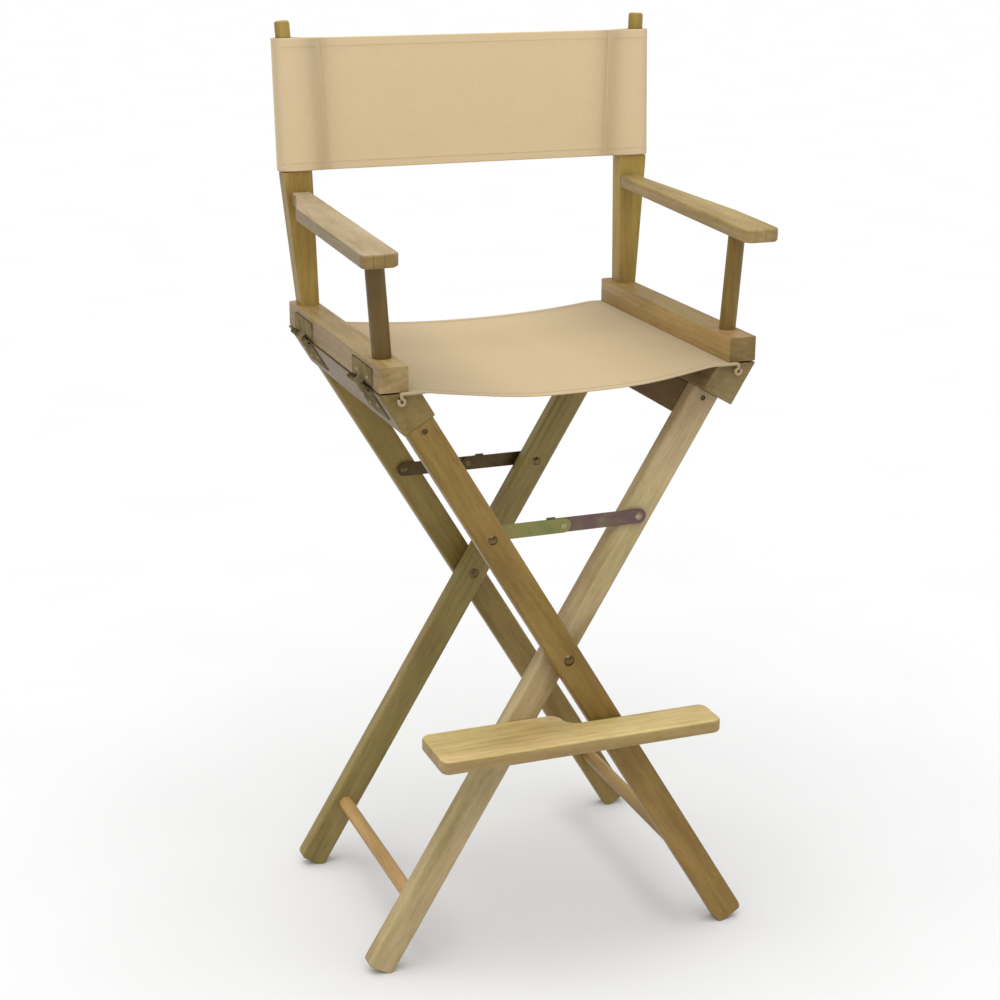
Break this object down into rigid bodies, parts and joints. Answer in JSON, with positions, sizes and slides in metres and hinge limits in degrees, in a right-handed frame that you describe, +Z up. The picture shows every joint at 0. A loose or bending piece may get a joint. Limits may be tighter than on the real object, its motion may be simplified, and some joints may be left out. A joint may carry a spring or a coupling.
{
  "type": "folding director chair",
  "caption": "Bar-height folding director chair: crossed wooden legs, canvas seat and back, flat armrests, hinged arms and a drop footrest.",
  "frame": {"origin": "centre of the footprint's bounding box, on the floor", "axes": "+Z up, front faces -Y, +X is the right-hand side seen from the front"},
  "size_m": [0.521, 0.448, 1.1499],
  "materials": {
    "frame_wood": "satin",
    "turned_wood": "satin",
    "brass_plated_steel": "satin",
    "zinc_plated_steel": "satin",
    "canvas": "matte"
  },
  "bodies": {
    "outer_frame": {"leg_front_outer": "frame_wood", "leg_rear_outer": "frame_wood", "seat_rail_left": "frame_wood", "top_board_left": "turned_wood", "dowel_right": "turned_wood", "pivot_bolts": "brass_plated_steel", "pivot_washers": "zinc_plated_steel", "pivot_nuts": "zinc_plated_steel", "stay_bolt_front": "brass_plated_steel", "board_screws_left": "brass_plated_steel", "hem_rod_left": "turned_wood", "hinge_leaf_low_left": "brass_plated_steel", "hinge_pins_left": "zinc_plated_steel", "hinge_screws_low_left": "zinc_plated_steel", "footrest_peg": "zinc_plated_steel", "seat_canvas": "canvas"},
    "inner_frame": {"leg_front_inner": "frame_wood", "leg_rear_inner": "frame_wood", "seat_rail_right": "frame_wood", "top_board_right": "turned_wood", "dowel_left": "turned_wood", "stay_bolt_rear": "brass_plated_steel", "board_screws_right": "brass_plated_steel", "hem_rod_right": "turned_wood", "hinge_leaf_low_right": "brass_plated_steel", "hinge_pins_right": "zinc_plated_steel", "hinge_screws_low_right": "zinc_plated_steel", "footrest_bolt": "brass_plated_steel"},
    "left_arm": {"arm_rail_left": "frame_wood", "back_post_left": "turned_wood", "front_post_left": "turned_wood", "armrest_left": "frame_wood", "hinge_leaf_up_left": "brass_plated_steel", "hinge_screws_up_left": "zinc_plated_steel", "back_canvas": "canvas"},
    "right_arm": {"arm_rail_right": "frame_wood", "back_post_right": "turned_wood", "front_post_right": "turned_wood", "armrest_right": "frame_wood", "hinge_leaf_up_right": "brass_plated_steel", "hinge_screws_up_right": "zinc_plated_steel"},
    "footrest": {"footrest_board": "frame_wood", "footrest_bracket": "zinc_plated_steel", "footrest_screws": "zinc_plated_steel"},
    "front_stay_left": {"stay_front_a": "zinc_plated_steel"},
    "front_stay_right": {"stay_front_b": "zinc_plated_steel", "stay_front_rivet": "brass_plated_steel", "stay_front_end_rivet": "brass_plated_steel"},
    "rear_stay_right": {"stay_rear_a": "zinc_plated_steel"},
    "rear_stay_left": {"stay_rear_b": "zinc_plated_steel", "stay_rear_rivet": "brass_plated_steel", "stay_rear_end_rivet": "brass_plated_steel"}
  },
  "joints": [
    {"name": "fold", "type": "hinge", "parent": "outer_frame", "child": "inner_frame", "pos_m": [0, 0.0295, 0.404], "axis": [0, -1, 0], "range_deg": [0, 52], "deforming": ["seat_canvas", "back_canvas"]},
    {"name": "left_arm_fold", "type": "hinge", "parent": "outer_frame", "child": "left_arm", "pos_m": [-0.244, 0.0295, 0.762], "axis": [0, -1, 0], "range_deg": [0, 26.02]},
    {"name": "right_arm_fold", "type": "hinge", "parent": "inner_frame", "child": "right_arm", "pos_m": [0.244, 0.0295, 0.762], "axis": [0, -1, 0], "range_deg": [-26.02, 0]},
    {"name": "footrest_fold", "type": "hinge", "parent": "inner_frame", "child": "footrest", "pos_m": [-0.08191, -0.1374, 0.281], "axis": [0, -1, 0], "range_deg": [0, 59.02]},
    {"name": "front_stay_left_pivot", "type": "hinge", "parent": "outer_frame", "child": "front_stay_left", "pos_m": [-0.10094, -0.141, 0.572], "axis": [0, -1, 0], "range_deg": [0, 106.28]},
    {"name": "front_stay_mid_pivot", "type": "hinge", "parent": "front_stay_left", "child": "front_stay_right", "pos_m": [0, -0.14, 0.572], "axis": [0, -1, 0], "range_deg": [-160.53, 0]},
    {"name": "rear_stay_right_pivot", "type": "hinge", "parent": "inner_frame", "child": "rear_stay_right", "pos_m": [0.09133, 0.1965, 0.556], "axis": [0, -1, 0], "range_deg": [-106.28, 0]},
    {"name": "rear_stay_mid_pivot", "type": "hinge", "parent": "rear_stay_right", "child": "rear_stay_left", "pos_m": [0, 0.198, 0.556], "axis": [0, -1, 0], "range_deg": [0, 160.53]}
  ],
  "couplings": [
    {"joint": "left_arm_fold", "follows": "fold", "ratio": 0.5},
    {"joint": "right_arm_fold", "follows": "fold", "ratio": -0.5},
    {"joint": "footrest_fold", "follows": "fold", "ratio": 1.1346},
    {"joint": "front_stay_left_pivot", "follows": "fold", "ratio": 2.0434},
    {"joint": "front_stay_mid_pivot", "follows": "fold", "ratio": -3.0868},
    {"joint": "rear_stay_right_pivot", "follows": "fold", "ratio": -2.0434},
    {"joint": "rear_stay_mid_pivot", "follows": "fold", "ratio": 3.0868}
  ]
}
